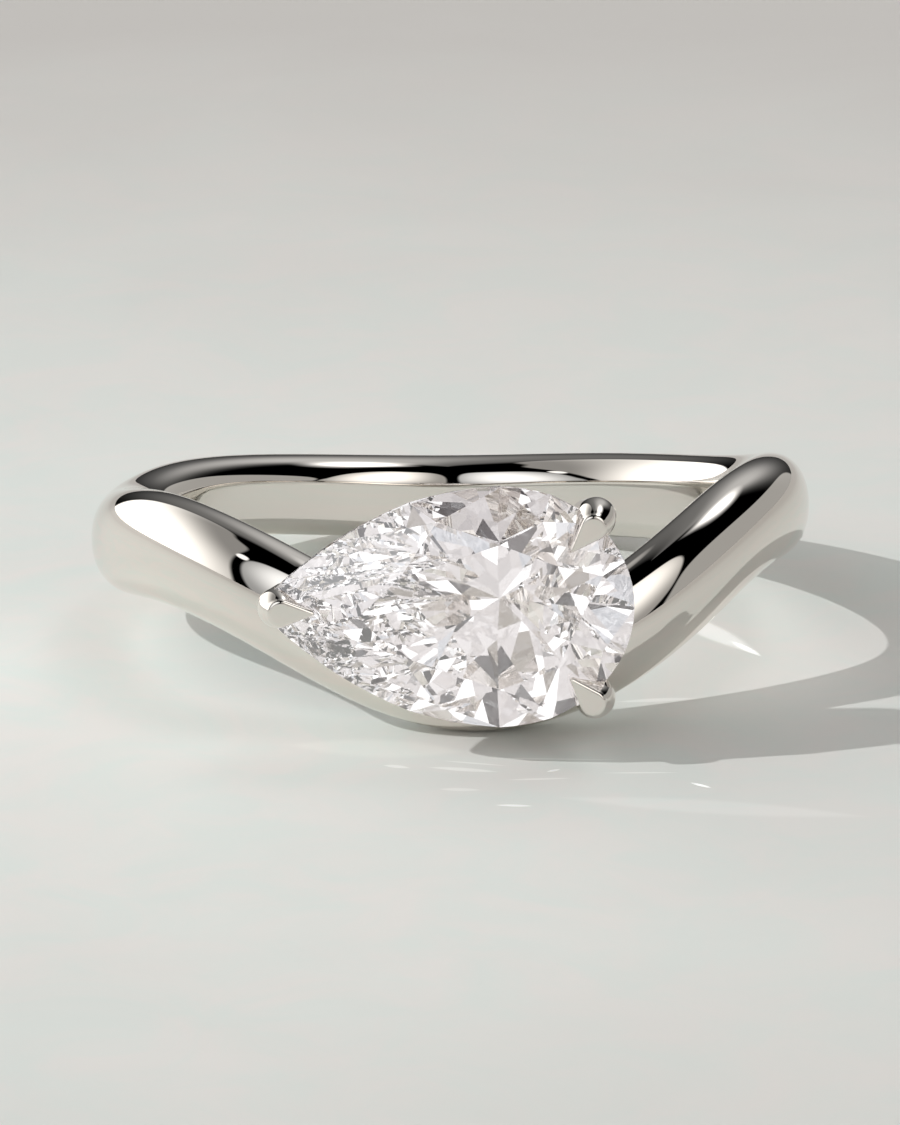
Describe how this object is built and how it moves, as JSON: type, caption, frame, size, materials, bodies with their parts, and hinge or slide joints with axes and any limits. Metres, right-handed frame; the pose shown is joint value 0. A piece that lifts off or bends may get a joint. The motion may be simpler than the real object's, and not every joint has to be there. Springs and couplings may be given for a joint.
{
  "type": "east west ring",
  "caption": "Ring with a pear brilliant set east to west in three claw prongs on a polished band that runs round the finger in a wave.",
  "frame": {"origin": "centre of the finger hole", "axes": "+Z along the finger, with the ring lying on its side; -Y out through the stone's table; -X along the stone towards its point"},
  "size_m": [0.0204, 0.023, 0.0079],
  "materials": {
    "white_metal": "polished",
    "stone": "polished"
  },
  "bodies": {
    "root": {"band_and_setting": "white_metal", "pear_stone": "stone"}
  },
  "joints": []
}
